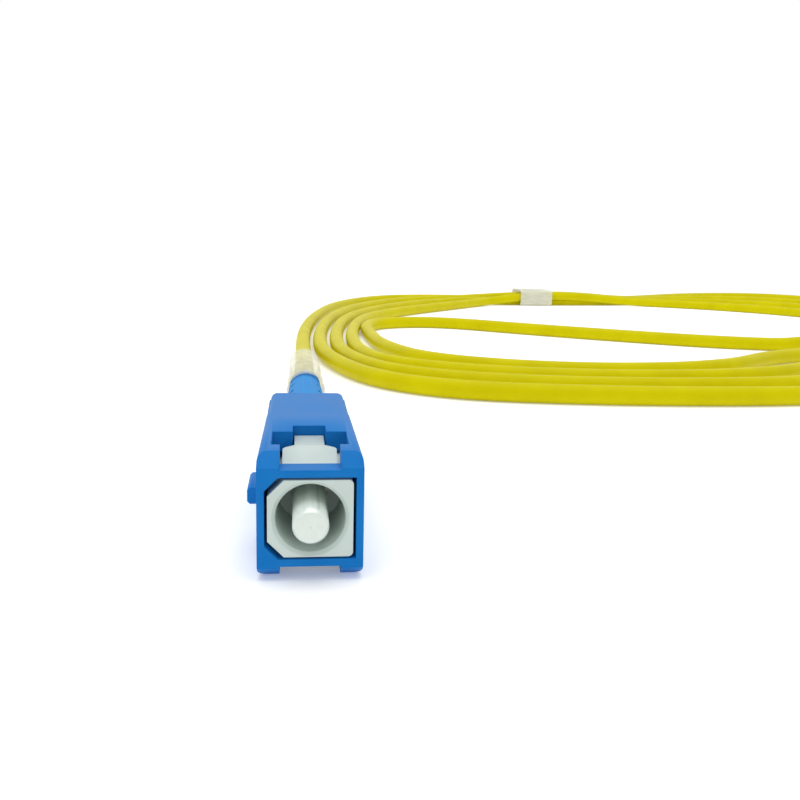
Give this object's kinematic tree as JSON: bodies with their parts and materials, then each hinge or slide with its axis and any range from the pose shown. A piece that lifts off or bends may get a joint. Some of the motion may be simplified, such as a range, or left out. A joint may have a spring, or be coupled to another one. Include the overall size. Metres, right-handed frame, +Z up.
{
  "type": "SC fibre patch cord connector",
  "caption": "Blue push-pull SC fibre plugs on a coiled yellow 3 mm simplex cable, with pale latch frames and ceramic ferrules.",
  "frame": {"origin": "on the near plug's ferrule axis, in the front plane of its grip housing", "axes": "-Y out of the near plug's face along its ferrule, +Y along the plug towards its cable, +Z up, the guide key on -X"},
  "size_m": [0.2344, 0.3482, 0.0092],
  "materials": {
    "blue_housing_plastic": "satin moulded PBT",
    "pale_frame_plastic": "satin moulded, slightly translucent",
    "blue_boot_rubber": "matte thermoplastic elastomer",
    "zirconia": "polished white ceramic",
    "nickel_brass": "nickel plated",
    "spring_steel": "bright drawn wire",
    "crimp_metal": "satin",
    "aramid": "yarn",
    "buffer_white": "smooth",
    "cable_jacket": "satin PVC",
    "clear_film": "frosted clear"
  },
  "bodies": {
    "cord_set": {"near_plug_frame": "pale_frame_plastic", "near_ferrule_spring": "spring_steel", "near_stop_ring": "nickel_brass", "near_crimp_sleeve": "crimp_metal", "near_aramid_yarn": "aramid", "near_buffer_fibre": "buffer_white", "near_jacket_end": "cable_jacket", "near_strain_relief_boot": "blue_boot_rubber", "far_plug_frame": "pale_frame_plastic", "far_ferrule_spring": "spring_steel", "far_cable_anchor": "nickel_brass", "far_strain_relief_boot": "blue_boot_rubber", "cable_lead": "cable_jacket", "cable_coil": "cable_jacket", "cable_tail": "cable_jacket", "cable_sleeve": "clear_film", "coil_tie": "clear_film"},
    "near_grip": {"near_grip_housing": "blue_housing_plastic"},
    "near_ferrule_unit": {"near_ferrule": "zirconia", "near_ferrule_flange": "nickel_brass"},
    "far_grip": {"far_grip_housing": "blue_housing_plastic"},
    "far_ferrule_unit": {"far_ferrule": "zirconia", "far_ferrule_flange": "nickel_brass"}
  },
  "joints": [
    {"name": "near_grip_slide", "type": "slide", "parent": "cord_set", "child": "near_grip", "axis": [0, 1, 0], "range_m": [0, 0.002]},
    {"name": "near_ferrule_float", "type": "slide", "parent": "cord_set", "child": "near_ferrule_unit", "axis": [0, 1, 0], "range_m": [0, 0.001], "stiffness_N_per_m": 1000, "springref_m": -0.002, "deforming": ["near_ferrule_spring"]},
    {"name": "far_grip_slide", "type": "slide", "parent": "cord_set", "child": "far_grip", "axis": [0, 1, 0], "range_m": [0, 0.002]},
    {"name": "far_ferrule_float", "type": "slide", "parent": "cord_set", "child": "far_ferrule_unit", "axis": [0, 1, 0], "range_m": [0, 0.001], "stiffness_N_per_m": 1000, "springref_m": -0.002, "deforming": ["far_ferrule_spring"]}
  ]
}
